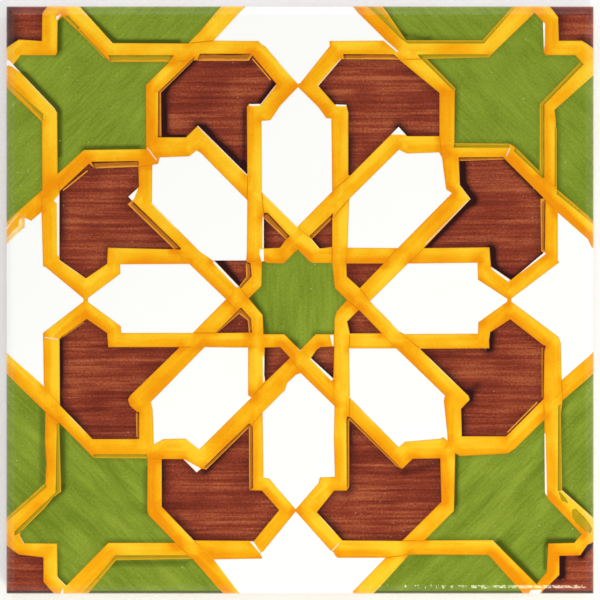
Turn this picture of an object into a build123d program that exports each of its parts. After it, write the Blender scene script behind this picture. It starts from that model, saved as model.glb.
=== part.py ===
from build123d import *
import math
import os

# A square glazed wall tile, die-pressed from one slab of clay, glazed, painted and fired.
# Millimetres. The tile lies face up: X and Y run along its sides and +Z is the face.
# The origin is the middle of the square, on the plane that the ribs of the back rest on.

# Outside sizes. The side is measured at its widest, where the rounded rim begins.
tile_side = 150.0
tile_thickness = 9.0
plan_corner_radius = 0.6

# The rounded rim, where the face rolls over to the sides
rim_radius = 2.8
rim_height = tile_thickness - rim_radius

# The sides lean in towards the back, so that laid tiles meet at the rim first
side_draft = 3.0
side_inset = rim_height * math.tan(math.radians(side_draft))
back_arris = 0.5

# The keyed back: a grid of shallow pockets, which leaves a border and crossing ribs
pockets_per_side = 7
pocket_depth = 0.9
border_width = 7.0
rib_width = 5.4
pocket_corner_radius = 1.6
pocket_draft = 20.0


def rimmed_square():
    """Two crossed bars. What they share has the rim and the back arris, both mitred."""
    section = Plane.XZ * Pos(0, tile_thickness / 2) * Rectangle(tile_side, tile_thickness)
    lower_corners = section.vertices().sort_by(Axis.Z)[:2]
    section = chamfer(lower_corners, back_arris + side_inset)
    upper_corners = section.vertices().sort_by(Axis.Z)[-2:]
    section = fillet(upper_corners, rim_radius)
    bar = extrude(section, tile_side / 2, both=True)
    return bar & bar.rotate(Axis.Z, 90)


def die():
    """The die's four walls: they lean in below the rim and stand upright beside it."""
    plan = RectangleRounded(tile_side, tile_side, plan_corner_radius)
    widest = Plane.XY.offset(rim_height) * plan
    lean = extrude(widest, -rim_height, taper=side_draft)
    return lean + extrude(widest, rim_radius)


def back_pockets():
    """All the pockets of the back. Each narrows upwards, to let go of the die."""
    ribs = (pockets_per_side - 1) * rib_width
    mouth_side = (tile_side - 2 * border_width - ribs) / pockets_per_side
    mouth = RectangleRounded(mouth_side, mouth_side, pocket_corner_radius)
    pocket = extrude(mouth, pocket_depth, taper=pocket_draft)
    pitch = mouth_side + rib_width
    return GridLocations(pitch, pitch, pockets_per_side, pockets_per_side) * pocket


os.makedirs("parts", exist_ok=True)
tile = (rimmed_square() & die()) - back_pockets()
export_step(tile, "parts/tile.step")
print("tile: solids", len(tile.solids()), "volume mm3", round(tile.volume))
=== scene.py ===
import math
import random

import bmesh
import bpy
import numpy as np
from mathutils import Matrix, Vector, noise


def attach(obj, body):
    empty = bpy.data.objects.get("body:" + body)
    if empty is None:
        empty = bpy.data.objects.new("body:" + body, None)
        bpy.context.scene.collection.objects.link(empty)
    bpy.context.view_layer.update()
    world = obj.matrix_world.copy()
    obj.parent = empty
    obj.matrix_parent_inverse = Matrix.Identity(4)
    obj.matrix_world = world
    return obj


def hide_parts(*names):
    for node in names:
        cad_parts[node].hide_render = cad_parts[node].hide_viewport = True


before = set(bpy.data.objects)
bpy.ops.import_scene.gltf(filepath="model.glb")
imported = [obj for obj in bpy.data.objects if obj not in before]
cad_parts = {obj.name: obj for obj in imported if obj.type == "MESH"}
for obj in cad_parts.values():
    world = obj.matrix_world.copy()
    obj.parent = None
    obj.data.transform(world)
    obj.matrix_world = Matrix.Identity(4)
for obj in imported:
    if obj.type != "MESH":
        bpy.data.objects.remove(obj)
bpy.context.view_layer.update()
bpy.ops.object.select_all(action="DESELECT")
mm = 0.001


# The camera looks straight down on the tile from well above, as on a copy stand.
# The picture is 600 pixels square and takes in a little more than the tile's side.
picture_width = 152.71 * mm
face_height = 9.0 * mm
lens_length = 200.0
film_width = 36.0
camera_height = face_height + lens_length * picture_width / film_width
bpy.ops.object.camera_add(location=(0.0, 0.0, camera_height), rotation=(0.0, 0.0, 0.0))
camera = bpy.context.object
camera.name = "copy_stand_camera"
camera.data.lens = lens_length
camera.data.sensor_width = film_width
camera.data.clip_end = 10.0
bpy.context.scene.camera = camera
bpy.context.scene.view_settings.view_transform = "Standard"


# The table under the tile is plain white card. It keeps the tile's soft shadow.
# Its finish, and every other one in this file, is put together from sums and nodes.
class Value:
    """A number that a shader works out, written as ordinary sums."""

    def __init__(self, finish, socket):
        self.finish = finish
        self.socket = socket

    def maths(self, operation, *terms):
        return self.finish.maths(operation, self, *terms)

    def clamped(self):
        return self.maths("MAXIMUM", 0.0).maths("MINIMUM", 1.0)

    def __add__(self, other):
        return self.finish.maths("ADD", self, other)

    def __radd__(self, other):
        return self.finish.maths("ADD", other, self)

    def __sub__(self, other):
        return self.finish.maths("SUBTRACT", self, other)

    def __rsub__(self, other):
        return self.finish.maths("SUBTRACT", other, self)

    def __mul__(self, other):
        return self.finish.maths("MULTIPLY", self, other)

    def __rmul__(self, other):
        return self.finish.maths("MULTIPLY", other, self)


class Finish:
    """A material, or the light of the room, with the one method that adds any node to it."""

    def __init__(self, owner):
        self.owner = owner
        self.owner.use_nodes = True
        self.tree = self.owner.node_tree
        self.tree.nodes.clear()

    def node(self, kind, settings=None, inputs=None, output=0):
        made = self.tree.nodes.new(kind)
        for setting, value in (settings or {}).items():
            if setting == "stops":
                ramp = made.color_ramp
                while len(ramp.elements) < len(value):
                    ramp.elements.new(1.0)
                for stop, (place, colour) in zip(ramp.elements, value):
                    stop.position = place
                    stop.color = (*colour, 1.0)
            else:
                setattr(made, setting, value)
        for socket, value in (inputs or {}).items():
            if isinstance(value, Value):
                self.tree.links.new(value.socket, made.inputs[socket])
            else:
                made.inputs[socket].default_value = value
        return Value(self, made.outputs[output]) if made.outputs else None

    def maths(self, operation, *terms):
        return self.node("ShaderNodeMath", {"operation": operation}, dict(enumerate(terms)))

    def blend(self, factor, first, second):
        settings = {"data_type": "RGBA", "blend_type": "MIX"}
        return self.node("ShaderNodeMix", settings, {0: factor, 6: first, 7: second}, output=2)

    def place(self):
        """Where each point lies on its piece."""
        return self.node("ShaderNodeTexCoord", output=3)

    def stored(self, name):
        """A number that is stored for each point of the mesh."""
        return self.node("ShaderNodeAttribute", {"attribute_name": name}, output=2)

    def cloud(self, place, scale, detail):
        """Soft random patches from 0 to 1. Stretched over one side, they are brush marks."""
        return self.node("ShaderNodeTexNoise", None, {
            "Vector": place,
            "Scale": scale,
            "Detail": detail,
        })

    def bump(self, height, strength, distance):
        return self.node("ShaderNodeBump", None, {
            "Height": height,
            "Strength": strength,
            "Distance": distance,
        })

    def done(self, shader, output="ShaderNodeOutputMaterial"):
        self.node(output, None, {"Surface": shader})
        return self.owner


bpy.ops.object.select_all(action="DESELECT")
bpy.ops.mesh.primitive_plane_add(size=6.0, location=(0.0, 0.0, 0.0))
table = bpy.context.object
table.name = "white_table"
card = Finish(bpy.data.materials.new("white_card"))
table.data.materials.append(card.done(card.node(
    "ShaderNodeBsdfPrincipled",
    None,
    {"Base Color": (0.96, 0.96, 0.96, 1.0), "Roughness": 0.9},
)))
bpy.ops.object.select_all(action="DESELECT")


# The light is a white room, darker overhead where the camera hangs and brighter towards
# the far right, as by a window. A small warm lamp near the right corner gives the glare.
room = Finish(bpy.data.worlds.new("white_room"))
sight = room.node("ShaderNodeTexCoord", output=0)
skyward = room.node("ShaderNodeSeparateXYZ", None, {0: sight}, output=2)
overhead = room.node(
    "ShaderNodeMapRange",
    None,
    {"Value": skyward, "From Min": 0.80, "From Max": 0.97, "To Min": 0.955, "To Max": 0.12},
)
window_side = room.node(
    "ShaderNodeVectorMath",
    {"operation": "DOT_PRODUCT"},
    {0: sight, 1: (0.03, 0.12, 0.0)},
    output=1,
)
bpy.context.scene.world = room.done(room.node(
    "ShaderNodeBackground",
    None,
    {"Color": (1.0, 1.0, 1.0, 1.0), "Strength": overhead * (window_side + 1.0)},
), "ShaderNodeOutputWorld")

# For each lamp: its name, its place, its width and height, its watts and its colour.
lamps = (
    ("window_lamp", (0.60, 1.60, 1.35), 3.0, 1.6, 11.0, (0.88, 0.94, 1.0)),
    ("warm_lamp", (0.100, -0.38, 0.38), 0.04, 0.30, 0.88, (1.0, 0.98, 0.74)),
)
for name, place, width, height, watts, colour in lamps:
    bpy.ops.object.light_add(type="AREA", location=place)
    lamp = bpy.context.object
    lamp.name = name
    lamp.data.shape = "RECTANGLE"
    lamp.data.size = width
    lamp.data.size_y = height
    lamp.data.energy = watts
    lamp.data.color = colour
    aim = Vector((place[0] * 0.7, 0.0, 0.0)) - lamp.location
    lamp.rotation_euler = aim.to_track_quat("-Z", "Y").to_euler()
bpy.ops.object.select_all(action="DESELECT")


# The slab is one pressed piece of red clay, fired bare on its back and lower sides.
# Its rim is rolled, its sides lean in to the back, and the die left a keyed back.
tile_side = 150.0 * mm
side_lean = math.tan(math.radians(3.0))
rim_height = 6.2 * mm
corner_radius = 0.6 * mm
clay_side = 149.5 * mm
clay_top = 8.72 * mm
clay_roll = 2.6 * mm
smooth_angle = math.radians(30.0)
hair = 0.01 * mm


def take_up(piece):
    """Selects one piece alone, for the tools that follow."""
    bpy.ops.object.select_all(action="DESELECT")
    piece.select_set(True)
    bpy.context.view_layer.objects.active = piece


def plain_box(name, side, height, middle):
    """An upright box over the middle of the tile, left open for editing."""
    bpy.ops.object.select_all(action="DESELECT")
    place = (0.0, 0.0, middle)
    bpy.ops.mesh.primitive_cube_add(size=1.0, location=place, scale=(side, side, height))
    box = bpy.context.object
    box.name = name
    bpy.ops.object.transform_apply(location=True, rotation=True, scale=True)
    bpy.ops.object.mode_set(mode="EDIT")
    return box


def cut(block, tool, how):
    """A Boolean with another solid, which is used up."""
    take_up(block)
    boolean = block.modifiers.new("cut", "BOOLEAN")
    boolean.operation = how
    boolean.solver = "EXACT"
    boolean.object = tool
    bpy.ops.object.modifier_apply(modifier="cut")
    bpy.data.objects.remove(tool, do_unlink=True)


def pressed_block(name, side, top, roll, roll_steps):
    """A square block with a rolled rim, leaning sides and nearly sharp plan corners."""
    block = plain_box(name, side, top, top / 2)
    bpy.ops.mesh.select_all(action="SELECT")
    rim_line = (0.0, 0.0, top - roll - 5 * hair)
    bpy.ops.mesh.bisect(plane_co=rim_line, plane_no=(0.0, 0.0, 1.0))
    form = bmesh.from_edit_mesh(block.data)
    for vert in form.verts:
        vert.select = vert.co.z < hair
    form.select_flush_mode()
    shrink = 1.0 - 2 * side_lean * rim_height / side
    bpy.ops.transform.resize(value=(shrink, shrink, 1.0))
    for edge in form.edges:
        edge.select = all(vert.co.z > top - hair for vert in edge.verts)
    bpy.ops.mesh.bevel(offset=roll, segments=roll_steps, profile=0.5)
    bpy.ops.object.mode_set(mode="OBJECT")
    die = plain_box("die", side, top * 1.4, top / 2)
    form = bmesh.from_edit_mesh(die.data)
    for edge in form.edges:
        edge.select = abs(edge.verts[0].co.z - edge.verts[1].co.z) > top
    bpy.ops.mesh.bevel(offset=corner_radius, segments=5)
    bpy.ops.object.mode_set(mode="OBJECT")
    cut(block, die, "INTERSECT")
    return block


slab = pressed_block("clay_slab", clay_side, clay_top, clay_roll, 8)

# The pockets of the back: one is shaped, then copied to the whole grid.
pocket_count = 7
pocket_depth = 0.9 * mm
pocket_draft = math.radians(20.0)
pocket_corner = 1.4 * mm
pocket_ease = 0.25 * mm
border_width = 7.0 * mm
rib_width = 5.4 * mm
mouth_side = (tile_side - 2 * border_width - (pocket_count - 1) * rib_width) / pocket_count
pocket_pitch = mouth_side + rib_width
pocket = plain_box("pocket", mouth_side, 2 * pocket_depth, 0.0)
form = bmesh.from_edit_mesh(pocket.data)
for vert in form.verts:
    vert.select = vert.co.z > 0
form.select_flush_mode()
narrower = 1.0 - 2 * pocket_depth * math.tan(pocket_draft) / mouth_side
bpy.ops.transform.resize(value=(narrower, narrower, 1.0))
for edge in form.edges:
    edge.select = abs(edge.verts[0].co.z - edge.verts[1].co.z) > pocket_depth
bpy.ops.mesh.bevel(offset=pocket_corner, segments=4)
form = bmesh.from_edit_mesh(pocket.data)
for edge in form.edges:
    edge.select = all(vert.co.z > pocket_depth * 0.9 for vert in edge.verts)
bpy.ops.mesh.bevel(offset=pocket_ease, segments=2)
bpy.ops.object.mode_set(mode="OBJECT")
take_up(pocket)
for step in ((pocket_pitch, 0.0, 0.0), (0.0, pocket_pitch, 0.0)):
    row = pocket.modifiers.new("row", "ARRAY")
    row.count = pocket_count
    row.use_relative_offset = False
    row.use_constant_offset = True
    row.constant_offset_displace = step
    bpy.ops.object.modifier_apply(modifier="row")
first_pocket = -pocket_pitch * (pocket_count - 1) / 2
pocket.location = (first_pocket, first_pocket, 0.0)
bpy.ops.object.transform_apply(location=True, rotation=True, scale=True)
cut(slab, pocket, "DIFFERENCE")
take_up(slab)
bpy.ops.object.shade_smooth_by_angle(angle=smooth_angle)
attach(slab, "root")
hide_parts("tile")

clay = Finish(bpy.data.materials.new("fired_clay"))
clay_place = clay.place()
grog = clay.cloud(clay_place, 900.0, 3.0)
firing = clay.cloud(clay_place, 45.0, 2.0)
clay_colour = clay.blend(firing, (0.60, 0.31, 0.19, 1.0), (0.78, 0.50, 0.35, 1.0))
clay_colour = clay.blend((grog - 0.62) * 3.0, clay_colour, (0.42, 0.22, 0.14, 1.0))
clay_grain = clay.bump(grog, 0.4, 0.0002)
slab.data.materials.clear()
slab.data.materials.append(clay.done(clay.node(
    "ShaderNodeBsdfPrincipled",
    None,
    {"Base Color": clay_colour, "Roughness": 0.88, "Normal": clay_grain},
)))


# The white glaze was poured over the face. It covers the rim, and ends in a wavy line
# part of the way down the sides, because the lower sides and the back were wiped clean.
coat_side = 149.84 * mm
coat_top = 8.90 * mm
coat_roll = 2.75 * mm
coat_foot = 1.7 * mm
coat_grid = 2.5 * mm
coat_thickness = 0.25 * mm
wave_height = 0.55 * mm


def glazed_sheet(name, lowest, spacing):
    """The outside of the glaze above one height, as an open sheet on a fine grid."""
    sheet = pressed_block(name, coat_side, coat_top, coat_roll, 10)
    take_up(sheet)
    bpy.ops.object.mode_set(mode="EDIT")
    form = bmesh.from_edit_mesh(sheet.data)
    bmesh.ops.bisect_plane(
        form,
        geom=form.verts[:] + form.edges[:] + form.faces[:],
        plane_co=(0, 0, lowest),
        plane_no=(0, 0, 1),
        clear_inner=True,
    )
    for axis in range(2):
        count = int(coat_side / 2 / spacing)
        for step in range(-count, count + 1):
            place = Vector((0.0, 0.0, 0.0))
            place[axis] = step * spacing
            along = Vector((0.0, 0.0, 0.0))
            along[axis] = 1.0
            bmesh.ops.bisect_plane(
                form,
                geom=form.verts[:] + form.edges[:] + form.faces[:],
                plane_co=place,
                plane_no=along,
            )
    bmesh.update_edit_mesh(sheet.data)
    bpy.ops.object.mode_set(mode="OBJECT")
    return sheet


def thicken(sheet, thickness, offset):
    """Gives a sheet its thickness, outwards for a positive offset, and closes its edge."""
    take_up(sheet)
    skin = sheet.modifiers.new("skin", "SOLIDIFY")
    skin.thickness = thickness
    skin.offset = offset
    bpy.ops.object.modifier_apply(modifier="skin")


coat = glazed_sheet("white_glaze_coat", coat_foot, coat_grid)
for vert in coat.data.vertices:
    if vert.co.z < coat_foot + hair:
        wave = noise.noise(Vector(vert.co) * 140.0) + 0.5 * noise.noise(Vector(vert.co) * 420.0)
        vert.co.z += wave_height * wave
thicken(coat, coat_thickness, -1.0)
bpy.ops.object.shade_smooth_by_angle(angle=smooth_angle)
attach(coat, "root")

white = Finish(bpy.data.materials.new("white_glaze"))
white_swell = white.cloud(white.place(), 55.0, 1.0)
white_colour = white.blend(white_swell, (0.975, 0.975, 0.975, 1.0), (0.96, 0.96, 0.96, 1.0))
white_bump = white.bump(white_swell, 0.15, 0.0003)
coat.data.materials.clear()
coat.data.materials.append(white.done(white.node(
    "ShaderNodeBsdfPrincipled",
    None,
    {"Base Color": white_colour, "Roughness": 0.12, "Normal": white_bump},
)))


# The painted glazes lie on the white as thin even coats that end over the rim.
# Each outline is in millimetres, as the painter drew it, with its small slips.
bare_glaze = {
    "top": [
        (-12.8, 75), (-22, 66), (-10.5, 65.9), (-9.9, 65.1), (-8.9, 64.6), (-0.6, 55), (0, 55.1),
        (7.6, 64.6), (7.5, 65.9), (21.2, 66), (24.8, 63), (25, 63.4), (22, 66), (14.8, 73.1),
        (12.7, 75),
    ],
    "left": [
        (-75, 13.2), (-70.1, 18.6), (-70.1, 21), (-68.4, 20.2), (-65.8, 22.4), (-65.4, 8.6),
        (-64.6, 8.3), (-55.1, 0.4), (-55.1, -0.4), (-65.4, -8.4), (-65.2, -21.8), (-75, -12.5),
    ],
    "right": [
        (65.6, 22.3), (73.3, 15.5), (74.4, 13.4), (75, 13), (75, -12.2), (66.6, -20.4),
        (66.4, -11), (65.8, -9.4), (53.8, -0.4), (53.8, 0.4), (66, 9.6), (65.6, 10.2),
    ],
    "petal_tl": [
        (-35.7, 36.3), (-28.2, 36.6), (-26.3, 38.1), (-25.2, 37.4), (-13.4, 25.4), (-13.5, 12.8),
        (-13.7, 9.9), (-22, 9.9), (-25.5, 12.3), (-37.7, 24.6), (-37.6, 34.4), (-36.1, 34.7),
    ],
    "petal_tr": [
        (12.6, 25.8), (25.2, 38.3), (27.2, 37.3), (35.4, 37.6), (36.1, 36.4), (37.2, 28.2),
        (38.7, 27.2), (24.9, 13.2), (12.1, 13.3), (12.5, 24.6),
    ],
    "petal_top": [
        (-0.5, 54.2), (4.6, 49.2), (6.7, 46.3), (8, 46.2), (8.2, 27.6), (-0.7, 18.6), (-9.7, 27.5),
        (-9.8, 45.6), (-7.5, 45.8), (-5, 49.5),
    ],
    "petal_left": [
        (-45.8, 9.1), (-28.2, 9.2), (-18.8, 0.2), (-27.3, -8.4), (-45.5, -8.4), (-45.6, -6.7),
        (-54, -0.5), (-54, 0.5), (-45.7, 6.7),
    ],
    "petal_right": [
        (17.8, -0.3), (27.5, 9.3), (45.2, 9.5), (45.3, 5.2), (52.8, 0.3), (52.8, -0.4),
        (45.4, -5.7), (45.3, -8.6), (26.6, -8.7), (25.4, -8.1),
    ],
    "bottom": [
        (-1.1, -53.8), (8, -64), (8.6, -64.2), (8.8, -64.8), (9.5, -65.6), (21.8, -65.6),
        (13.4, -74.3), (13.8, -75), (-14.5, -75), (-22, -66), (-9.6, -65.8), (-10.2, -64.4),
        (-9.3, -63.9),
    ],
    "petal_bl": [
        (-24.3, -12), (-13.2, -12.1), (-13.2, -24.3), (-12.3, -24.8), (-25.6, -38), (-29, -35.3),
        (-34.8, -35.4), (-37.2, -36.8), (-37.5, -27.8), (-38, -26),
    ],
    "petal_br": [
        (12.5, -12.3), (24.5, -12.3), (36.9, -24.3), (36.6, -25.7), (37.5, -34), (37.6, -35.9),
        (36.5, -34.9), (35.9, -35.3), (26.7, -36.1), (25.1, -37.5), (12.7, -24.8),
    ],
    "petal_bottom": [
        (0.2, -18.6), (8.8, -27), (8.6, -35), (8.9, -45), (5, -45.2), (4.8, -46.5), (-1.1, -53.3),
        (-7.8, -45.5), (-9.3, -45.2), (-9.5, -28.6), (-3.8, -22.9), (-3.3, -21.2), (-1, -19),
    ],
}

bare_slips = {
    "sliver_star_tl": [(-62, 71.2), (-62, 72.2), (-60.6, 72.9), (-61.6, 71.6)],
    "wedge_tl": [(-75, 62), (-73.9, 60.9), (-73.1, 60), (-70.3, 57.2), (-73.4, 59.5), (-75, 60.2)],
    "sliver_tl_top": [(-13, 49.9), (-10, 49.9), (-10.2, 49.4), (-12.8, 49.35)],
    "sliver_tr_top": [(9, 49.8), (11.7, 49.8), (11.9, 49.3), (9.3, 49.3)],
    "notch_tr_top": [(22.8, 42.1), (25.1, 44.1), (27.2, 42)],
    "sliver_star_tr": [(61.8, 70.8), (62.4, 70.4), (62.3, 65), (62.1, 63.5)],
    "notch_tl_left": [(-43.7, 26.3), (-41.1, 28.6), (-42.3, 25.6), (-42.7, 25.2)],
    "sliver_tl_left": [(-62.7, 25.2), (-61.3, 27), (-61.35, 11), (-61.8, 11.5), (-61.9, 24.6)],
    "sliver_tri_l_top": [(-22.2, 9.5), (-21.8, 9.9), (-15.4, 3.3), (-16.2, 3.2)],
    "sliver_tri_t_left": [(-9.45, 22.2), (-9.2, 21.9), (-9.2, 13.1), (-9.5, 13.1)],
    "patch_t_left": [(-10.2, 13), (-9.2, 13), (-9.2, 9.9), (-9.8, 9.8), (-10.3, 11.5)],
    "patch_b_right": [(7.6, -9), (8.6, -8.8), (8.7, -11.6), (8.3, -11.8)],
    "sliver_tri_b_left": [(-9.5, -14), (-9.1, -14.5), (-9, -20.6), (-9.4, -21.2)],
    "sliver_tri_b_right": [(2.5, -14.9), (2.9, -14.7), (8.5, -20.1), (8, -20.6)],
    "sliver_tr_right_a": [(48.7, 8.5), (53.5, 5.1), (53, 4.6), (48.6, 8)],
    "sliver_tr_right_b": [(62.1, 12.2), (62.7, 11.8), (56, 6.7), (56.3, 7.1)],
    "sliver_bottom": [(-12.8, -61.5), (-11.8, -61.5), (-10, -64.3), (-10.3, -64.4)],
    "sliver_corner_bl": [(-61.7, -75), (-60.2, -73.2), (-60.5, -75)],
    "notch_bl_bottom": [(-29.7, -40.4), (-25.2, -42.9), (-26.3, -43.9)],
    "sliver_star_br": [(62.2, -34), (62.5, -34), (62.9, -49.9), (62.35, -49.2)],
    "edge_patch": [(58, -75), (58.8, -73.9), (61.6, -73.7), (60.9, -75)],
}

green_fields = {
    "star_tl": [
        (-60.5, 72.2), (-48.3, 60.6), (-33.3, 60.6), (-39.2, 54.7), (-39.15, 38.4), (-55, 38.2),
        (-61.7, 32.1), (-61.8, 47.6), (-62.6, 48.9), (-73, 59.9), (-71, 62.3), (-62.2, 62.3),
        (-61.8, 63), (-61.7, 71),
    ],
    "top_left": [(-57.2, 75), (-47.7, 65.4), (-28.5, 65.3), (-25.5, 68.3), (-19, 75)],
    "top_right": [(20.2, 75), (27, 66.1), (46.5, 66.1), (55.2, 75)],
    "star_tr": [
        (59.7, 73.1), (61.8, 70.9), (62, 63.2), (62.6, 62.3), (70, 62.3), (71.5, 60.7), (61, 49.8),
        (61, 32.7), (54.8, 38.9), (53.3, 39.8), (39.3, 39.9), (39.4, 54), (32.2, 61.4), (48, 61.8),
    ],
    "left_top": [(-75, 55.3), (-65.7, 45.4), (-65.6, 28), (-75, 18.7)],
    "right_top": [(75, 58.4), (64.8, 48.4), (65.1, 46), (65.4, 28.2), (75, 19.2)],
    "centre": [
        (-0.6, 12.9), (2.3, 9.9), (3.2, 9.4), (8.2, 9.4), (8.9, 3), (12, 0), (9.4, -2.8),
        (8.8, -4.6), (8.7, -8.7), (4, -8.7), (0, -12.8), (-4, -8.7), (-9.3, -8.7), (-9.5, -3.8),
        (-13.1, 0.4), (-9.8, 3.6), (-9.7, 9.7), (-9, 9.8), (-8.4, 9.4), (-4.2, 9.3),
    ],
    "left_bottom": [
        (-75, -17.5), (-64.8, -28.5), (-64.9, -36), (-64.5, -41.5), (-64.8, -46.6), (-75, -56.5),
    ],
    "star_bl": [
        (-61.3, -31.2), (-60.8, -48.8), (-62.8, -50.2), (-65, -53), (-71, -58.9), (-71.3, -60),
        (-70.2, -61.9), (-61.8, -62), (-61.7, -70.5), (-59.5, -72.7), (-48.8, -61.8),
        (-31.7, -61.8), (-38.5, -54.8), (-38.9, -53.3), (-38.8, -40.3), (-52.5, -40.2),
    ],
    "bottom_left": [(-55, -75), (-46.8, -66.2), (-27.3, -65.9), (-18.5, -75)],
    "star_br": [
        (39.5, -39), (40.7, -39.7), (52.8, -39.1), (54.8, -37.8), (62.2, -30.5), (62.3, -49),
        (63.2, -50.7), (71.7, -59.6), (69.8, -61.8), (63.2, -62), (62.8, -69.3), (60.2, -72.3),
        (49, -61.1), (31.7, -61.2), (39.2, -53.7),
    ],
    "bottom_right": [(17.6, -75), (27.8, -64.8), (48, -64.9), (58, -75)],
    "right_bottom": [(75, -17.6), (66.8, -25.6), (66.4, -29), (66.7, -48.4), (75, -56.6)],
}

brown_fields = {
    "corner_tl": [(-75, 75), (-63.7, 75), (-65.6, 73), (-65.7, 65.9), (-71.5, 66.3), (-75, 63.5)],
    "tl_top": [
        (-35.4, 52.8), (-27.1, 61), (-13, 60.9), (-12.1, 62.3), (-6, 55), (-10, 49.9), (-13, 49.9),
        (-13.5, 49.2), (-13.4, 31.9), (-26, 44.4), (-29, 41.4), (-35.3, 41.4),
    ],
    "tr_top": [
        (10.5, 61.3), (25.2, 61.2), (35.5, 52.7), (35.5, 41.7), (27.3, 41.7), (25.1, 44.1),
        (12.8, 31.7), (12.3, 31.8), (12.3, 47.7), (11.8, 49.7), (8.8, 49.8), (4.7, 54.5),
    ],
    "corner_tr": [
        (62.8, 75), (65.7, 72), (65.9, 66), (71.7, 66), (73, 65.3), (75, 63.3), (75, 75),
    ],
    "tl_left": [
        (-61.2, 27.7), (-53.7, 34.7), (-52.2, 33.5), (-41.1, 33.9), (-41, 28.8), (-43.7, 26.3),
        (-42.7, 25.2), (-43.9, 24.4), (-32, 12.9), (-48.9, 13.3), (-49.1, 9.2), (-54.5, 5.5),
        (-61.2, 10.2),
    ],
    "tr_right": [
        (31.5, 13.2), (43.4, 25.7), (40.7, 29.3), (40.4, 36.2), (51.7, 36.3), (62.1, 25.9),
        (61.2, 25.7), (61.4, 12.5), (62, 12), (53.7, 5.1), (48.6, 8.5), (48.2, 13.4),
    ],
    "tri_l_top": [(-21.8, 10.05), (-13.6, 10.05), (-13.5, 5.7), (-15.4, 3.3)],
    "tri_t_left": [(-9.2, 20.8), (-3.6, 15.4), (-5.1, 13.3), (-9.2, 13.1)],
    "tri_t_right": [(8.2, 20.7), (8.2, 13.5), (5, 13.1), (3, 15.5)],
    "tri_r_top": [(11.8, 9.3), (21.3, 9.3), (15.2, 3), (11.9, 6)],
    "tri_r_bottom": [(15, -2.5), (20.8, -8.5), (12.7, -8.5), (12, -5.5)],
    "tri_l_bottom": [(-15.5, -3.5), (-13.3, -5.2), (-13, -8.3), (-21.2, -8.4)],
    "tri_b_left": [(-9, -12.1), (-5, -12), (-2.5, -14.7), (-8.8, -20.8), (-9.1, -19)],
    "tri_b_right": [(8.7, -11.8), (8.5, -20), (2.8, -14.8), (4.2, -12.7), (5.2, -12)],
    "corner_bl": [
        (-75, -61.7), (-71.5, -64.8), (-65.3, -65.5), (-65.3, -71.7), (-61.7, -75), (-75, -75),
    ],
    "bl_left": [
        (-61.2, -9.9), (-54.3, -4.8), (-49.1, -8.4), (-48.8, -12), (-30.6, -12), (-43.3, -24.4),
        (-43.8, -25.4), (-43.2, -27), (-41.3, -28.6), (-41.3, -35.4), (-52.8, -35.4),
        (-61.1, -26.8),
    ],
    "bl_bottom": [
        (-35.2, -40.5), (-29.8, -40.5), (-26.3, -43.9), (-25, -42.9), (-23.9, -43.2), (-13, -32.5),
        (-12.9, -48.4), (-9.7, -48.5), (-5.3, -53.5), (-11.7, -61.3), (-27, -61.2), (-35.2, -52.6),
    ],
    "br_bottom": [
        (12.5, -30.4), (24.6, -42.3), (26, -43), (28.7, -40.4), (35.7, -40.3), (36, -51.4),
        (26, -61.3), (10.8, -61.2), (4.3, -54), (8.7, -48.5), (11.9, -48.5), (12.5, -47.5),
    ],
    "br_right": [
        (53.5, -4.9), (61.7, -11.3), (62.6, -11.7), (62.2, -13.2), (62, -25.2), (52.5, -34.7),
        (41.2, -34.7), (41, -27.7), (43.2, -25.4), (42.9, -24.4), (30.5, -12.4), (48.2, -12.3),
        (48.1, -10.3), (48.4, -8.2),
    ],
    "corner_br": [
        (75, -61.3), (73.2, -62.3), (71.3, -65), (66, -65.1), (66, -70), (62, -73.9), (60.9, -75),
        (75, -75),
    ],
}

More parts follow.
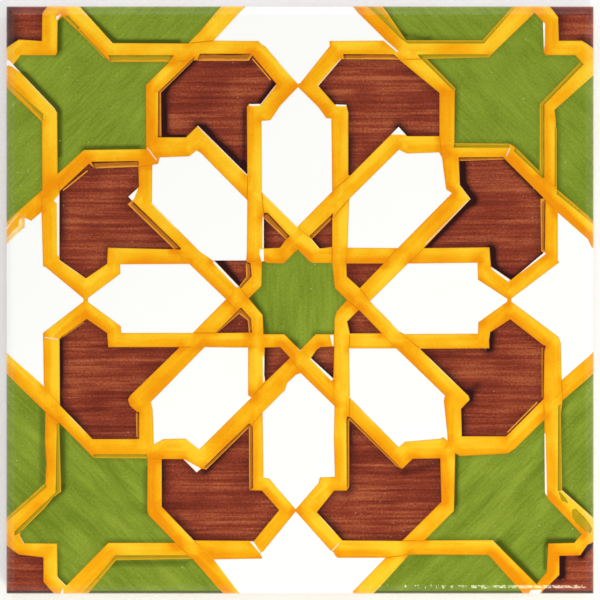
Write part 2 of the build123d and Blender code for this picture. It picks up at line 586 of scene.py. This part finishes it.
laps_on_green = {
    "H": [(-75, 56.8), (-65.4, 47.4), (-65.4, 45.5), (-75, 55.6)],
    "B": [(-48.8, 62.3), (-32, 62.3), (-33.3, 60.7), (-48.3, 60.7)],
    "K": [
        (19.5, 75), (27, 66.1), (46.5, 66.1), (55.2, 75), (56.3, 75), (46.8, 65.3), (27.4, 65.3),
        (25.6, 66.6), (16, 75),
    ],
    "star_tr_top": [
        (48.3, 62.5), (48, 61.8), (32.2, 61.4), (39.4, 54), (39.3, 53.1), (30.2, 62), (30, 62.5),
    ],
    "star_tr_right": [
        (71.5, 60.7), (61, 49.8), (61, 32.7), (54.8, 38.9), (54.4, 37.9), (61.8, 31), (62.2, 31),
        (62.2, 49.7), (72.2, 60),
    ],
    "star_tr_bottom": [(53.3, 39.8), (39.3, 39.9), (39, 38.8), (53.3, 38.8)],
    "right_top_low": [(65.4, 28.2), (75, 19.2), (75, 18.2), (65.3, 27)],
    "star_bl_left": [
        (-61.9, -31.5), (-61.3, -31.2), (-60.8, -48.8), (-62.8, -50.2), (-65, -53), (-71, -58.9),
        (-72.6, -60), (-72.7, -59), (-62.2, -49),
    ],
    "star_bl_top": [(-52.6, -39.3), (-39, -39.3), (-38.8, -40.3), (-52.5, -40.2)],
    "left_bottom_diag": [(-64.8, -46.6), (-64.5, -47.6), (-75, -57.6), (-75, -56.5)],
    "bottom_left_top": [
        (-56.6, -75), (-46.9, -65), (-28.9, -65), (-27.3, -65.9), (-46.8, -66.2), (-55, -75),
    ],
    "star_br_bottom": [(31.7, -61.2), (49, -61.1), (48.6, -62.1), (30.8, -62.1)],
    "right_bottom_left": [(65.7, -27), (66.4, -26.3), (66.4, -29), (66.7, -48.4), (65.6, -48.6)],
    "right_bottom_diag": [
        (69.25, -53.4), (70.2, -53.1), (72.3, -55.2), (73.6, -56.7), (74.5, -58.3), (74.1, -59.3),
        (73, -59.1), (70.5, -57), (69.3, -55.3),
    ],
    "right_bottom_turn": [
        (65.8, -48.6), (66.6, -49.3), (67.7, -50.5), (68.3, -51.7), (66.6, -51.1), (66.1, -49.9),
    ],
}

laps_on_brown = {
    "tl_top": [(-25.5, 62.7), (-12.3, 62.7), (-13, 60.9), (-26.2, 60.9)],
    "tl_top_left": [
        (-35.3, 41.4), (-35.4, 52.8), (-27.1, 61), (-26.8, 61.9), (-36.1, 53), (-36.2, 41.4),
    ],
    "tr_top": [(11, 62.6), (23.9, 62.5), (25.2, 61.4), (11.2, 61.3)],
    "tl_left_top": [(-53.2, 35.2), (-41.1, 35.4), (-41.1, 33.9), (-52.2, 33.5)],
    "tl_left_diag": [(-43.9, 24.4), (-42.7, 25.3), (-30.3, 13.2), (-30.5, 12.8), (-32, 12.9)],
    "tr_right_edge": [(61.2, 25.7), (62.5, 25.6), (62.3, 12.4), (61.4, 12.5)],
    "tri_l_top": [(-13.8, 9.75), (-12.6, 9.4), (-12.3, 6), (-15, 3), (-15.55, 3.45), (-13.7, 5.8)],
    "tri_t_left": [(-9.2, 22.2), (-8.2, 22.2), (-2.6, 16.2), (-3.6, 15.4), (-9.2, 20.8)],
    "tri_t_right": [(8.5, 22.2), (2.4, 16.3), (3, 15.5), (8.2, 20.7)],
    "tri_l_bottom": [
        (-15, -1.9), (-12.5, -4.7), (-12.2, -8.3), (-13, -8.3), (-13.3, -5.2), (-15.5, -3.5),
        (-21.2, -8.4), (-21.5, -8.3),
    ],
    "bl_bottom": [
        (-24.6, -42.7), (-23.9, -43.2), (-13, -32.5), (-12.9, -48.4), (-12, -47.9), (-12, -32.3),
        (-12.9, -31.4), (-13.3, -31.7),
    ],
    "br_bottom": [
        (11.9, -48), (12.5, -47.5), (12.5, -30.4), (24.6, -42.3), (25.5, -42.6), (12.8, -29.8),
        (12, -29.6), (11.8, -30.5),
    ],
    "top_lap_tr_right": [(40.4, 36.3), (51.7, 36.4), (52.1, 35.8), (40.5, 35.4)],
    "right_lap_bl_left": [(-41.8, -28.5), (-40.9, -28.5), (-40.9, -35.4), (-41.6, -35)],
}

paint_foot = 6.7 * mm
paint_grid = 0.75 * mm
paint_sheet = glazed_sheet("orange_straps", paint_foot, paint_grid)


def past_the_rim(value):
    """Carries a coordinate on the tile's rim a millimetre beyond it."""
    return value * 76.0 / 75.0 if abs(value) > 74.97 else value


def stencil(name, outlines):
    """Upright walls round every outline, from below the rim to above the face."""
    wall_foot = 5.4 * mm
    wall_rise = (0.0, 0.0, 5.2 * mm)
    drawn = bpy.data.objects.new(name, bpy.data.meshes.new(name))
    bpy.context.scene.collection.objects.link(drawn)
    form = bmesh.new()
    for outline in outlines:
        form.faces.new([
            form.verts.new((past_the_rim(x) * mm, past_the_rim(y) * mm, wall_foot))
            for x, y in outline
        ])
    form.to_mesh(drawn.data)
    form.free()
    take_up(drawn)
    bpy.ops.object.mode_set(mode="EDIT")
    bpy.ops.mesh.select_all(action="SELECT")
    bpy.ops.mesh.extrude_region_move(TRANSFORM_OT_translate={"value": wall_rise})
    bpy.ops.mesh.select_all(action="SELECT")
    bpy.ops.mesh.normals_make_consistent(inside=False)
    bpy.ops.object.mode_set(mode="OBJECT")
    return drawn


def sides_of(outline):
    """Each side of an outline, as its two ends."""
    return zip(outline, outline[1:] + outline[:1])


def signed_area(outline):
    """The area inside an outline in square millimetres, below 0 if it runs clockwise."""
    return sum(a[0] * b[1] - b[0] * a[1] for a, b in sides_of(outline)) / 2


def parted(piece):
    """The piece's area in plan, or nothing if a wall of the stencil was left standing in it."""
    slack = 5 * hair
    heights = [vert.co.z for vert in piece.data.vertices]
    if not heights or max(heights) > face_height + slack or min(heights) < paint_foot - slack:
        return 0.0
    return sum(max(face.normal.z, 0.0) * face.area for face in piece.data.polygons) / mm / mm


def cut_along(piece, outlines, operation):
    """Cuts along the outlines, and again with them a hair aside if it did not part cleanly.

    The area that was cut tells. A little of it may be missing, because the rim is round
    and one outline may lie partly on another that was cut before it.
    """
    outlines = list(outlines)
    wanted = sum(abs(signed_area(outline)) for outline in outlines)
    least = 0.97 if operation == "INTERSECT" else 0.86
    most = 1.05
    whole = piece.data.copy()
    before = parted(piece)
    for aside in (0.0, 0.003, -0.004, 0.006, -0.008, 0.011):
        piece.data = whole.copy()
        moved = [[(x + aside, y - 0.7 * aside) for x, y in outline] for outline in outlines]
        cut(piece, stencil(piece.name + "_stencil", moved), operation)
        after = parted(piece)
        taken = after if operation == "INTERSECT" else (before - after if after else 0.0)
        if least < taken / wanted < most:
            break


def painted(name, outlines, thickness):
    """The part of the skin inside the outlines."""
    piece = paint_sheet.copy()
    piece.data = paint_sheet.data.copy()
    piece.name = name
    bpy.context.scene.collection.objects.link(piece)
    thicken(piece, thickness, 1.0)
    cut_along(piece, outlines.values(), "INTERSECT")
    return piece


def inside(point, outline):
    """Whether a point lies inside an outline."""
    x, y = point
    crossings = 0
    for a, b in sides_of(outline):
        if (a[1] > y) != (b[1] > y):
            crossings += x < a[0] + (y - a[1]) * (b[0] - a[0]) / (b[1] - a[1])
    return crossings % 2 == 1


def edge_runs(outlines):
    """Every side of the outlines, with its outward direction. The tile's rim is no side."""
    runs = []
    for outline in outlines:
        anticlockwise = signed_area(outline) > 0
        for a, b in sides_of(outline):
            if (abs(a[0]) == 75 and a[0] == b[0]) or (abs(a[1]) == 75 and a[1] == b[1]):
                continue
            away = Vector((b[1] - a[1], a[0] - b[0])).normalized()
            runs.append((np.array(a), np.array(b), away if anticlockwise else -away))
    return runs


def face_points(piece):
    """The plan places of a piece's points, in millimetres."""
    places = np.zeros(len(piece.data.vertices) * 3)
    piece.data.vertices.foreach_get("co", places)
    return places.reshape(-1, 3)[:, :2] / mm


def distance_to(points, a, b):
    """How far each point lies from the line between a and b."""
    run = b - a
    along = np.clip(((points - a) @ run) / max(run @ run, 1e-9), 0.0, 1.0)
    return np.hypot(*(points - a - along[:, None] * run).T)


def keep(piece, name, values):
    """Stores one number for each point, for the material to read."""
    kept = piece.data.attributes.new(name, "FLOAT", "POINT")
    kept.data.foreach_set("value", np.asarray(values, dtype=np.float32))


def keep_edges(piece, runs, reach, darker_side):
    """How near each point is to an edge, to one on its darker side and to one on its paler side."""
    points = face_points(piece)
    pooled = np.zeros(len(points))
    thinned = np.zeros(len(points))
    near = np.zeros(len(points))
    for a, b, away in runs:
        close = np.clip(1.0 - distance_to(points, a, b) / reach, 0.0, 1.0)
        share = away.dot(darker_side)
        pooled = np.maximum(pooled, close * max(share, 0.0))
        thinned = np.maximum(thinned, close * max(-share, 0.0))
        near = np.maximum(near, close)
    keep(piece, "pooled", pooled)
    keep(piece, "thinned", thinned)
    keep(piece, "edge", near)


def keep_strokes(piece, name, strokes):
    """A soft stroke from a to b for each entry, with its reach and its weight."""
    points = face_points(piece)
    value = np.zeros(len(points))
    for a, b, reach, weight in strokes:
        away = distance_to(points, np.array(a), np.array(b)) / reach
        value += weight * np.clip(1.0 - away * away, 0.0, 1.0) ** 2
    keep(piece, name, value)


def band(a, b, width):
    """The outline of one straight narrow stroke."""
    sideways = Vector((a[1] - b[1], b[0] - a[0])).normalized() * (width / 2)
    corners = ((a, -1.0), (b, -1.0), (b, 1.0), (a, 1.0))
    return [(x + side * sideways.x, y + side * sideways.y) for (x, y), side in corners]


# Hairlines of bare glaze, where a stroke just misses the field or the stroke before it.
hairlines = dict(enumerate(band(*stroke) for stroke in (
    ((-26.1, 44.3), (-13.5, 31.9), 0.20), ((-10.0, 49.8), (-6.2, 54.6), 0.16),
    ((4.6, 54.6), (10.4, 61.4), 0.20), ((-54.4, -4.9), (-49.2, -8.5), 0.20),
    ((48.4, -8.3), (53.6, -5.0), 0.20), ((-71.6, 66.4), (-66.8, 66.1), 0.22),
    ((-38.9, 38.7), (-36.5, 35.6), 0.22), ((52.5, 36.6), (53.5, 38.7), 0.22),
    ((-65.0, -9.5), (-61.6, -10.0), 0.22), ((8.0, -64.0), (10.0, -62.0), 0.22),
    ((-54.8, 39.2), (-40.0, 39.6), 0.16), ((-9.45, 20.8), (-9.45, 13.3), 0.16),
    ((32.0, 14.2), (42.9, 25.4), 0.18),
)))

# Thin second strokes, where the brush touched a field again beside the strap.
laps_on_green.update(enumerate(band(*stroke) for stroke in (
    ((-59.5, 72.2), (-56.4, 69.0), 0.9), ((-56.2, 68.7), (-49.6, 61.7), 0.45),
    ((65.1, 29.0), (65.1, 44.0), 0.5),
)))
laps_on_brown.update(enumerate(band(*stroke) for stroke in (
    ((-12.1, 61.4), (-7.5, 56.0), 0.32),
    ((-60.8, -9.6), (-55.0, -5.6), 0.32), ((61.7, -12.2), (61.7, -24.8), 0.32),
    ((-60.3, 27.9), (-54.1, 32.9), 0.32), ((52.8, -33.7), (60.4, -26.0), 0.32),
)))


def seam_lines(sides, outlines, order):
    """Where a strap's edge runs on over a strap that it crosses, from corner to corner."""
    shortest, longest = 2.5, 7.5
    end_gap, line_gap, side_gap = 0.2, 1.0, 0.8
    ends = [(b, (b - a) / math.hypot(*(b - a))) for a, b, away in sides]
    ends += [(a, (a - b) / math.hypot(*(a - b))) for a, b, away in sides]
    order.shuffle(ends)
    seams = []
    for corner, heading in ends:
        for other, facing in ends:
            gap = other - corner
            length = math.hypot(*gap)
            in_line = gap @ heading >= 0.985 * length and facing @ heading <= -0.97
            if not (shortest < length < longest and in_line):
                continue
            way = np.linspace(corner + heading * end_gap, other - heading * end_gap, 9)
            if any(distance_to(way, a, b).min() < line_gap for a, b in seams):
                continue
            if any(distance_to(way[4:5], a, b)[0] < side_gap for a, b, away in sides):
                continue
            if not any(inside(point, outline) for point in way for outline in outlines):
                seams.append((way[0], way[-1]))
    return seams


framed = [*bare_glaze.values(), *green_fields.values(), *brown_fields.values()]
openings = edge_runs(framed)
seams = seam_lines(openings, framed, random.Random(3))
strap_seams = dict(enumerate(band(a, b, 0.28) for a, b in seams))

green_piece = painted("green_fields", green_fields, 0.05 * mm)
brown_piece = painted("brown_fields", brown_fields, 0.05 * mm)
olive_piece = painted("strap_laps_on_green", laps_on_green, 0.06 * mm)
rust_piece = painted("strap_laps_on_brown", laps_on_brown, 0.06 * mm)
seam_piece = painted("strap_seams", strap_seams, 0.055 * mm)

# The straps are what is left of the sheet when every other outline is cut out of it.
straps = paint_sheet
thicken(straps, 0.07 * mm, 1.0)
for outlines in (
    bare_glaze, bare_slips, hairlines, strap_seams,
    green_fields, brown_fields, laps_on_green, laps_on_brown,
):
    cut_along(straps, outlines.values(), "DIFFERENCE")

# Each glaze is darker along the edges on its lower-left side, and the orange paler along those on its
# upper-right side.
keep_edges(green_piece, edge_runs(green_fields.values()), 2.0, Vector((-0.77, -0.64)))
keep_edges(brown_piece, edge_runs(brown_fields.values()), 3.0, Vector((-0.92, -0.39)))
keep_edges(straps, [(a, b, -away) for a, b, away in openings], 2.2, Vector((-0.70, -0.70)))

# Each strap runs along its nearest edge, and its brush marks follow it.
strap_points = face_points(straps)
nearest = np.full(len(strap_points), 1e9)
course = np.zeros((len(strap_points), 2))
tint = np.zeros(len(strap_points))
tint_chance = random.Random(5)
for a, b, away in openings:
    gap = distance_to(strap_points, a, b)
    closer = gap < nearest
    nearest[closer] = gap[closer]
    course[closer] = (b - a) / math.hypot(*(b - a))
    tint[closer] = tint_chance.uniform(-1.0, 1.0)
across = np.abs(course[:, 0]) > 0.92
upright = np.abs(course[:, 1]) > 0.92
slanting = ~across & ~upright
rising = slanting & (course[:, 0] * course[:, 1] > 0)
keep(straps, "tint", tint)
keep(straps, "across", across)
keep(straps, "upright", upright)
keep(straps, "rising", rising)
keep(straps, "falling", slanting & ~rising)

# Where the brush was full the colour is deep: here and there at the joints of the orange,
# and along some edges of the fields. In one place at the left rim the orange ran dry.
# Each stroke has its two ends in millimetres, its reach and its weight.
full_brush = [
    ((-38.0, 36.0), (-38.0, 55.0), 3.5, 0.9), ((37.5, 38.0), (37.5, 53.0), 3.5, 0.9),
    ((-37.0, -40.0), (-37.0, -54.0), 3.5, 0.9), ((-5.0, 12.0), (5.0, 12.0), 3.0, 0.8),
    ((-5.0, -12.0), (5.0, -12.0), 3.0, 0.8), ((-54.0, 36.5), (-64.0, 27.0), 3.5, 0.6),
    ((-6.0, 49.0), (-2.0, 55.0), 3.5, 0.6), ((55.0, 4.0), (63.0, 11.0), 3.0, 0.5),
    ((64.5, -66.0), (61.5, -72.0), 3.5, 0.7), ((54.5, 37.0), (74.0, 16.0), 2.5, 0.5),
    ((50.0, -65.0), (58.0, -73.0), 3.0, 0.5), ((2.0, 56.0), (9.0, 63.0), 3.0, 0.5),
]
joint_chance = random.Random(11)
joints = [
    (a, a, 2.6, joint_chance.choice((-0.2, 0.0, 0.3, 0.7))) for a, b, away in openings
]
doubled = [(a, b, 1.9, 0.55) for a, b in seams]
keep_strokes(straps, "laden", full_brush + joints + doubled)
keep_strokes(straps, "dry", [((-72.8, 15.5), (-72.8, 19.5), 3.4, 1.0)])
keep_strokes(green_piece, "laden", (
    ((50.8, -61.8), (59.8, -71.5), 1.7, 0.95), ((63.2, -61.3), (69.5, -61.3), 1.4, 0.9),
    ((62.4, -62.5), (62.4, -68.0), 1.0, 0.7), ((67.2, -48.8), (73.0, -54.6), 1.7, 0.9),
    ((39.6, -39.5), (39.6, -52.0), 1.1, 0.6), ((-70.0, 57.2), (-62.0, 49.0), 1.7, 0.7),
    ((-61.2, 48.0), (-61.2, 37.0), 1.3, 0.6), ((-61.2, 71.0), (-61.2, 64.0), 1.4, 0.7),
    ((-56.0, 73.8), (-47.6, 66.4), 1.5, 0.7), ((-47.4, 65.7), (-31.0, 65.7), 1.0, 0.8),
    ((-55.0, 38.6), (-41.0, 39.0), 0.8, 0.6), ((-60.2, -33.0), (-60.2, -47.0), 1.5, 0.6),
    ((-60.5, -48.0), (-69.0, -56.0), 1.7, 0.7), ((-39.2, -43.0), (-39.2, -54.0), 1.1, 0.5),
    ((-65.6, -28.0), (-65.6, -46.0), 1.2, 0.5), ((-48.0, -67.0), (-29.0, -67.0), 1.2, 0.6),
    ((-12.2, 1.0), (-8.6, -8.2), 1.8, 0.7), ((-6.0, -9.0), (-1.0, -11.0), 1.4, 0.5),
    ((24.0, 68.0), (33.0, 66.6), 1.0, 0.5), ((40.0, 37.6), (50.0, 37.8), 0.8, 0.4),
))
keep_strokes(brown_piece, "laden", (
    ((-74.6, 74.0), (-74.6, 66.0), 4.8, 0.8), ((-35.2, 42.0), (-35.2, 53.0), 2.8, 0.9),
    ((-34.2, 54.2), (-27.0, 61.4), 1.7, 0.7), ((-24.4, 43.6), (-14.6, 33.4), 2.0, 0.8),
    ((-14.2, 33.0), (-14.2, 48.0), 1.2, 0.6), ((-9.8, 50.4), (-6.4, 55.0), 1.8, 0.8),
    ((-34.8, 41.6), (-29.4, 41.6), 0.9, 0.8), ((41.0, 35.0), (41.4, 28.6), 2.2, 0.85),
    ((42.2, 27.8), (44.2, 25.4), 2.2, 0.7), ((43.2, 24.8), (32.0, 13.6), 1.8, 0.8),
    ((48.9, 12.8), (49.2, 8.8), 1.8, 0.85), ((49.6, 8.2), (53.6, 5.4), 1.4, 0.7),
    ((54.2, 5.4), (61.8, 11.6), 1.1, 0.6), ((52.2, 35.6), (61.4, 26.4), 1.0, 0.6),
    ((66.6, -65.6), (66.6, -70.0), 1.8, 0.9), ((71.6, -65.0), (74.4, -61.8), 1.4, 0.8),
    ((-61.4, -11.0), (-61.4, -26.0), 1.6, 0.5), ((-20.0, 10.0), (-15.6, 3.6), 1.6, 0.6),
    ((-24.4, -44.0), (-14.2, -32.6), 1.4, 0.5), ((26.5, -44.2), (36.0, -41.0), 1.4, 0.4),
    ((45.0, -22.0), (42.4, -24.6), 2.0, 0.6), ((48.4, -12.0), (48.8, -8.8), 1.8, 0.7),
))


def borders_field(side, fields):
    """Whether a field lies just beyond one side of a lap."""
    a, b, away = side
    beyond = (a + b) / 2 + 0.3 * np.array(away)
    return any(inside(beyond, field) for field in fields)


def keep_crossing(piece, laps, fields):
    """How far across its lap each point is, from the strap (0) to the field (1)."""
    points = face_points(piece)
    strap_gap = np.full(len(points), 1e9)
    field_gap = np.full(len(points), 1e9)
    for side in edge_runs(laps):
        gap = distance_to(points, side[0], side[1])
        if borders_field(side, fields):
            field_gap = np.minimum(field_gap, gap)
        else:
            strap_gap = np.minimum(strap_gap, gap)
    crossing = strap_gap / (strap_gap + field_gap + 1e-6)
    for lap in laps:
        if not any(borders_field(side, fields) for side in edge_runs([lap])):
            within = [inside(point, lap) for point in points]
            crossing[within] = 0.68
    keep(piece, "crossing", crossing)


keep_crossing(olive_piece, laps_on_green.values(), green_fields.values())
keep_crossing(rust_piece, laps_on_brown.values(), brown_fields.values())

for piece, slot in (
    (green_piece, "green_glaze"),
    (brown_piece, "brown_glaze"),
    (olive_piece, "orange_glaze"),
    (rust_piece, "orange_glaze"),
    (seam_piece, "orange_glaze"),
    (straps, "orange_glaze"),
):
    take_up(piece)
    bpy.ops.object.shade_smooth_by_angle(angle=smooth_angle)
    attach(piece, "root")
    piece.data.materials.clear()


# The green was laid with a broad brush, across the line from the middle to each corner.
# It is darker along its lower-left edges and where the brush was full; its near and left rims have
# pooling glaze and painted shade.
paint_gloss = {"Roughness": 0.09, "Specular IOR Level": 0.32}


def rim_pooling_and_shade(x, y):
    """The near and left rims, from 0 to 1: pooling glaze there, and painted shade where the glaze
    rolls away from the light.
    """
    near = ((-73.95 * mm - y) * 4000.0).clamped()
    left = ((-74.60 * mm - x) * 4000.0).clamped()
    return near + left * 0.6


def specks(glaze, place, patches, scale, size):
    """Pinholes, only where the patches are high."""
    cells = glaze.node("ShaderNodeTexVoronoi", None, {"Vector": place, "Scale": scale})
    return ((size - cells) * 40.0).clamped() * ((patches - 0.47) * 12.0).clamped() * 0.6


def swell(glaze, place, strength):
    """The gentle swell of a fired coat, which breaks up what it mirrors."""
    return glaze.bump(glaze.cloud(place, 450.0, 2.0), strength, 0.0005)


green = Finish(bpy.data.materials.new("green_glaze"))
green_place = green.place()
green_x = green.node("ShaderNodeSeparateXYZ", None, {0: green_place}, output=0)
green_y = green.node("ShaderNodeSeparateXYZ", None, {0: green_place}, output=1)
quarter = green_x.maths("SIGN") * 7.0 + green_y.maths("SIGN") * 13.0
outward = green_x.maths("ABSOLUTE") + green_y.maths("ABSOLUTE")
sideways = green_x.maths("ABSOLUTE") - green_y.maths("ABSOLUTE")
in_middle = ((30.0 * mm - outward) * 5000.0).clamped()
outward = outward + (green_x - outward) * in_middle
sideways = sideways + (green_y - sideways) * in_middle
quarter = quarter * (1.0 - in_middle)
green_hairs = green.cloud(green.node(
    "ShaderNodeCombineXYZ",
    None,
    {0: outward * 1100.0, 1: sideways * 110.0, 2: quarter},
), 1.0, 3.0)
green_bands = green.cloud(green.node(
    "ShaderNodeCombineXYZ",
    None,
    {0: outward * 200.0, 1: sideways * 35.0, 2: quarter},
), 1.0, 2.0)
green_cloud = green.cloud(green_place, 60.0, 2.0)
green_grain = green.cloud(green_place, 1900.0, 1.0)
lower = (0.5 - green_y * 30.0).clamped()
tone = 0.5 + (green_hairs - 0.5) * 1.2 + (green_bands - 0.5) * (0.8 + lower * 1.1)
tone = tone + (green_cloud - 0.5) * 0.9 + (green_grain - 0.5) * 1.1
green_colour = green.blend(tone.clamped(), (0.150, 0.218, 0.014, 1.0), (0.265, 0.350, 0.036, 1.0))
# Darker along the edges that face the lower left.
lower_left_dark = ((green.stored("pooled") - 0.15) * 1.7).clamped()
lower_left_dark = lower_left_dark * (0.25 + (green_cloud - 0.36) * 4.0).clamped()
near_edge = green.stored("edge")
deep = lower_left_dark * 0.6 + near_edge * near_edge * 0.25
# The near and left rims are darkened by pooling glaze and by painted shade.
deep = (deep + rim_pooling_and_shade(green_x, green_y) + green.stored("laden")).clamped()
green_colour = green.blend(deep, green_colour, (0.060, 0.085, 0.005, 1.0))
green_specks = specks(green, green_place, green_cloud, 380.0, 0.075)
green_colour = green.blend(green_specks, green_colour, (0.62, 0.66, 0.36, 1.0))
green_piece.data.materials.append(green.done(green.node(
    "ShaderNodeBsdfPrincipled",
    None,
    {"Base Color": green_colour, "Normal": swell(green, green_place, 0.32), **paint_gloss},
)))


# The brown was laid with a stiff brush, from side to side, and it shows every hair.
# It went on thin and uneven, so that the light hairs stand out between the dark ones.
brown = Finish(bpy.data.materials.new("brown_glaze"))
brown_place = brown.place()
hair_marks = brown.node(
    "ShaderNodeMapping",
    None,
    {"Vector": brown_place, "Scale": (48.0, 1350.0, 60.0)},
)
brown_hairs = brown.node(
    "ShaderNodeTexNoise",
    None,
    {"Vector": hair_marks, "Scale": 1.0, "Detail": 3.0, "Distortion": 0.5},
)
brush_marks = brown.node(
    "ShaderNodeMapping",
    None,
    {"Vector": brown_place, "Scale": (45.0, 300.0, 30.0)},
)
brown_bands = brown.cloud(brush_marks, 1.0, 2.0)
brown_grain = brown.cloud(brown_place, 1900.0, 1.0)
brown_cloud = brown.cloud(brown_place, 110.0, 2.0)
tone = 0.50 + (brown_hairs - 0.5) * 1.7 + (brown_bands - 0.5) * 0.9
tone = tone + (brown_grain - 0.5) * 0.9 + (brown_cloud - 0.5) * 0.8
brown_colour = brown.node(
    "ShaderNodeValToRGB",
    {"stops": (
        (0.0, (0.135, 0.020, 0.011)),
        (0.5, (0.255, 0.042, 0.020)),
        (1.0, (0.44, 0.115, 0.045)),
    )},
    {0: tone.clamped()},
)
brown_x = brown.node("ShaderNodeSeparateXYZ", None, {0: brown_place}, output=0)
brown_y = brown.node("ShaderNodeSeparateXYZ", None, {0: brown_place}, output=1)
# Darker along the edges that face the lower left.
lower_left_dark = ((brown.stored("pooled") - 0.1) * 1.35).clamped()
lower_left_dark = lower_left_dark * (0.45 + (brown_cloud - 0.4) * 4.0).clamped()
near_edge = brown.stored("edge")
deep = lower_left_dark * 0.62 + near_edge * near_edge * 0.40
# The near and left rims are darkened by pooling glaze and by painted shade.
deep = (deep + rim_pooling_and_shade(brown_x, brown_y) + brown.stored("laden")).clamped()
brown_colour = brown.blend(deep, brown_colour, (0.028, 0.006, 0.006, 1.0))
brown_specks = specks(brown, brown_place, brown_cloud, 420.0, 0.07)
brown_colour = brown.blend(brown_specks, brown_colour, (0.70, 0.42, 0.30, 1.0))
brown_piece.data.materials.append(brown.done(brown.node(
    "ShaderNodeBsdfPrincipled",
    None,
    {"Base Color": brown_colour, "Normal": swell(brown, brown_place, 0.24), **paint_gloss},
)))


# The orange was drawn last with one narrow brush, stroke by stroke along each strap.
# It is deep along its lower-left edges, yellow along its upper-right ones, and has a darker outline.
orange = Finish(bpy.data.materials.new("orange_glaze"))
orange_place = orange.place()
strokes = 0.0
for way, angle in (("across", 0.0), ("upright", -90.0), ("rising", -45.0), ("falling", 45.0)):
    turned = orange.node(
        "ShaderNodeVectorRotate",
        {"rotation_type": "Z_AXIS"},
        {"Vector": orange_place, "Angle": math.radians(angle)},
    )
    drawn_out = orange.node(
        "ShaderNodeMapping",
        None,
        {"Vector": turned, "Scale": (60.0, 900.0, 50.0)},
    )
    strokes = strokes + orange.stored(way) * orange.cloud(drawn_out, 1.0, 2.0)
orange_cloud = orange.cloud(orange_place, 80.0, 2.0)
orange_grain = orange.cloud(orange_place, 1700.0, 1.0)
thinned = orange.stored("thinned")
tone = 0.62 + (strokes - 0.5) * 0.8 + (orange_cloud - 0.5) * 1.6 + (orange_grain - 0.5) * 0.35
# Deeper along the lower-left edges, paler along the upper-right ones.
tone = tone - orange.stored("pooled") * 0.6 + thinned * 0.35
tone = tone - orange.stored("laden") * 0.5 + orange.stored("tint") * 0.16
orange_colour = orange.node(
    "ShaderNodeValToRGB",
    {"stops": (
        (0.0, (0.86, 0.285, 0.002)),
        (0.5, (0.93, 0.43, 0.005)),
        (1.0, (0.97, 0.60, 0.025)),
    )},
    {0: tone.clamped()},
)
outlined = ((orange.stored("edge") - 0.86) * 7.0).clamped() * 0.6
orange_colour = orange.blend(outlined, orange_colour, (0.70, 0.23, 0.004, 1.0))
pale_line = ((thinned - 0.84) * 9.0).clamped() * ((orange_cloud - 0.50) * 14.0).clamped()
orange_colour = orange.blend(pale_line * 0.6, orange_colour, (0.98, 0.86, 0.52, 1.0))
bared = (orange.stored("dry") * (strokes - 0.45) * 12.0).clamped()
orange_colour = orange.blend(bared * 0.8, orange_colour, (0.97, 0.80, 0.45, 1.0))
straps.data.materials.append(orange.done(orange.node(
    "ShaderNodeBsdfPrincipled",
    None,
    {"Base Color": orange_colour, "Normal": swell(orange, orange_place, 0.24), **paint_gloss},
)))


# A stroke that runs over another stroke dried darkest along its edge. The seam is that
# thin line of orange glaze, and it fades here and there.
seam = Finish(bpy.data.materials.new("orange_seam"))
fading = seam.cloud(seam.place(), 170.0, 2.0)
seam_colour = seam.blend(
    ((fading - 0.42) * 5.0).clamped(),
    (0.70, 0.235, 0.004, 1.0),
    (0.90, 0.385, 0.004, 1.0),
)
seam_piece.data.materials.append(seam.done(seam.node(
    "ShaderNodeBsdfPrincipled",
    None,
    {"Base Color": seam_colour, **paint_gloss},
)))


# Where a stroke ran over a painted field, the field shows through it. The lap is darkest
# beside the strap, and its own edge on the field dried as a bright orange line.
for piece, name, dark, amber, bright in (
    (olive_piece, "orange_over_green", (0.24, 0.18, 0.007), (0.43, 0.30, 0.010), (0.75, 0.36, 0.010)),
    (rust_piece, "orange_over_brown", (0.085, 0.018, 0.005), (0.44, 0.14, 0.014), (0.78, 0.31, 0.030)),
):
    lap = Finish(bpy.data.materials.new(name))
    lap_place = lap.place()
    smear = lap.cloud(lap_place, 500.0, 2.0)
    drift = lap.cloud(lap_place, 150.0, 2.0)
    crossing = lap.stored("crossing") + (smear - 0.5) * 0.3 + (drift - 0.5) * 0.4
    lap_colour = lap.node(
        "ShaderNodeValToRGB",
        {"stops": ((0.08, dark), (0.28, amber), (0.64, amber), (0.84, bright))},
        {0: crossing.clamped()},
    )
    piece.data.materials.append(lap.done(lap.node(
        "ShaderNodeBsdfPrincipled",
        None,
        {"Base Color": lap_colour, **paint_gloss},
    )))
bpy.ops.object.select_all(action="DESELECT")
